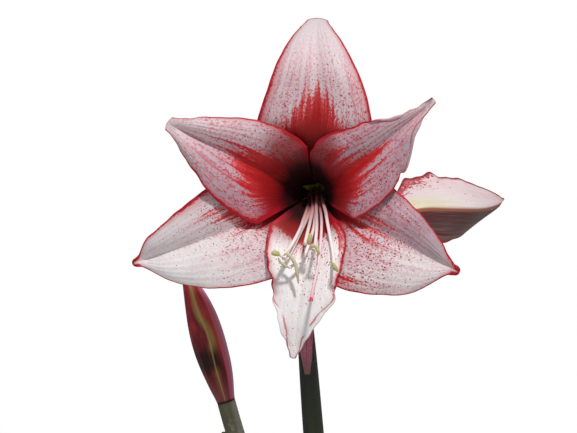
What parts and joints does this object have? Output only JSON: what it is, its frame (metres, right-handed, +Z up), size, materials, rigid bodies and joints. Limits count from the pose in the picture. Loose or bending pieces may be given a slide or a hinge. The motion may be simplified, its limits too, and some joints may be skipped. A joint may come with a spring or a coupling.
{
  "type": "potted amaryllis",
  "caption": "Potted amaryllis in flower: open spotted bloom, opening bud and closed spathe on scapes from a bulb with strap leaves, in a plain clay pot of soil.",
  "frame": {"origin": "centre of the pot's flat foot, where it rests on the table", "axes": "+Z up through the pot, -Y towards the viewer that the open bloom faces, +X to that viewer's right, where the opening bud points"},
  "size_m": [0.2392, 0.341, 0.6191],
  "materials": {
    "terracotta": "unglazed fired clay, matt",
    "potting_soil": "moist bark and peat crumbs",
    "bulb_tunic": "papery brown tunic",
    "scape_green": "smooth stem with a waxy bloom",
    "spathe": "smooth crimson and green bract",
    "dry_bract": "withered papery bract",
    "leaf_green": "satin strap leaf",
    "flower_stalk": "smooth green stalk",
    "tepal": "satin petal, crimson edged and spotted",
    "bud_tepal": "satin petal, flushed pink outside",
    "stamen": "waxy filament with dusty anther",
    "pistil": "waxy style with pink stigma"
  },
  "bodies": {
    "root": {"pot": "terracotta", "soil": "potting_soil", "bulb": "bulb_tunic", "scape_main": "scape_green", "scape_side": "scape_green", "closed_spathe": "spathe", "bract_front": "dry_bract", "bract_back": "dry_bract", "leaf_front_outer": "leaf_green", "leaf_front_inner": "leaf_green", "leaf_back_outer": "leaf_green", "leaf_back_inner": "leaf_green", "flower_stalk_main": "flower_stalk", "tepal_top": "tepal", "tepal_upper_left": "tepal", "tepal_upper_right": "tepal", "tepal_lower_left": "tepal", "tepal_lower_right": "tepal", "tepal_bottom": "tepal", "stamens": "stamen", "pistil": "pistil", "flower_stalk_bud": "flower_stalk", "bud_tepal_front": "bud_tepal", "bud_tepal_upper": "bud_tepal", "bud_tepal_lower": "bud_tepal", "bud_inner_tepals": "bud_tepal"}
  },
  "joints": []
}
